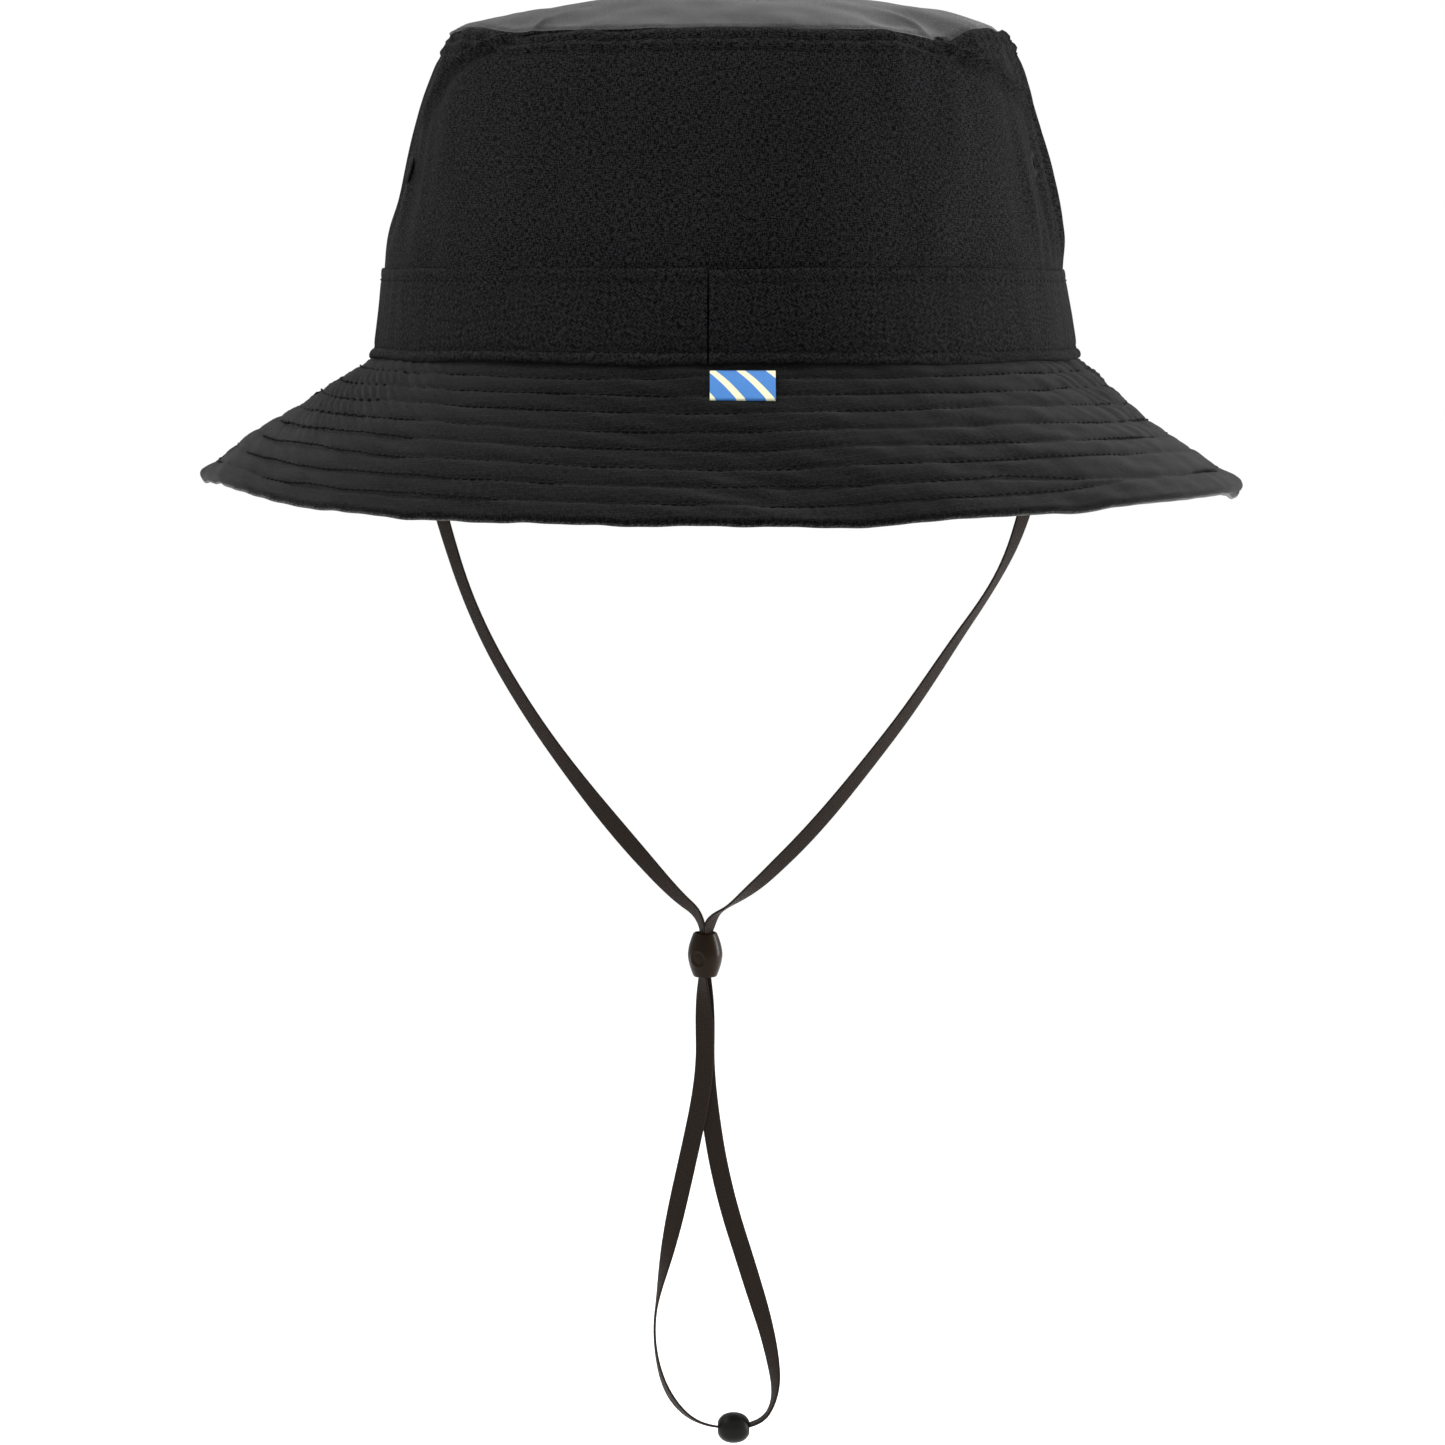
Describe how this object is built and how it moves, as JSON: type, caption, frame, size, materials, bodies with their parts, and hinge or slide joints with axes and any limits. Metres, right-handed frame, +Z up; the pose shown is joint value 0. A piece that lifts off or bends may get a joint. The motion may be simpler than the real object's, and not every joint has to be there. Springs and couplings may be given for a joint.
{
  "type": "bucket hat",
  "caption": "Black ripstop bucket hat with a stitched sloping brim, a rolled hatband, side eyelets and a flat chin cord with a barrel lock and a bead.",
  "frame": {"origin": "centre of the head opening, in the plane where the crown meets the brim", "axes": "+Z up towards the crown's top, -Y the front with the woven tag, +X across the head to the right as seen from the front"},
  "size_m": [0.287, 0.292, 0.4004],
  "materials": {
    "ripstop_cloth": "matt ripstop weave",
    "hatband_cloth": "matt ripstop weave, cut on the bias",
    "lining_cloth": "fine plain weave",
    "interlining": "stiff non-woven",
    "sweatband_cloth": "soft twill tape",
    "thread": "twisted sewing thread",
    "woven_tag": "woven, blue with cream stripes",
    "woven_label": "blank woven satin",
    "tape": "flat woven tape",
    "lock_plastic": "satin moulded",
    "bead_plastic": "satin moulded"
  },
  "bodies": {
    "hat": {"crown_top": "ripstop_cloth", "crown_panel_front": "ripstop_cloth", "crown_panel_rear": "ripstop_cloth", "brim_upper_front": "ripstop_cloth", "brim_upper_rear": "ripstop_cloth", "brim_lower_front": "ripstop_cloth", "brim_lower_rear": "ripstop_cloth", "crown_top_lining": "lining_cloth", "crown_lining_front": "lining_cloth", "crown_lining_rear": "lining_cloth", "brim_interlining_front": "interlining", "brim_interlining_rear": "interlining", "hatband": "hatband_cloth", "sweatband": "sweatband_cloth", "brim_stitching": "thread", "hatband_stitching": "thread", "crown_stitching": "thread", "eyelet_front_left": "thread", "eyelet_rear_left": "thread", "eyelet_front_right": "thread", "eyelet_rear_right": "thread", "cord_tab_left": "tape", "cord_tab_right": "tape"},
    "chin_cord": {"chin_cord": "tape"},
    "cord_lock": {"cord_lock": "lock_plastic"},
    "cord_bead": {"cord_bead": "bead_plastic"},
    "band_tag": {"band_tag": "woven_tag"},
    "care_label": {"care_label": "woven_label"}
  },
  "joints": [
    {"name": "chin_cord_swing", "type": "hinge", "parent": "hat", "child": "chin_cord", "pos_m": [0, 0, -0.002], "axis": [1, 0, 0], "range_deg": [-65, 65]},
    {"name": "cord_lock_slide", "type": "slide", "parent": "chin_cord", "child": "cord_lock", "axis": [0, 0, -1], "range_m": [0, 0.015]},
    {"name": "cord_bead_roll", "type": "hinge", "parent": "chin_cord", "child": "cord_bead", "pos_m": [0.0026, 0, -0.2977], "axis": [1, 0, 0], "continuous": true},
    {"name": "band_tag_flip", "type": "hinge", "parent": "hat", "child": "band_tag", "pos_m": [0.0047, -0.10283, -0.00228], "axis": [-1, 0, 0], "range_deg": [0, 110]},
    {"name": "care_label_flip", "type": "hinge", "parent": "hat", "child": "care_label", "pos_m": [0, 0.09168, 0.0225], "axis": [-1, 0, 0], "range_deg": [-4, 75]}
  ]
}
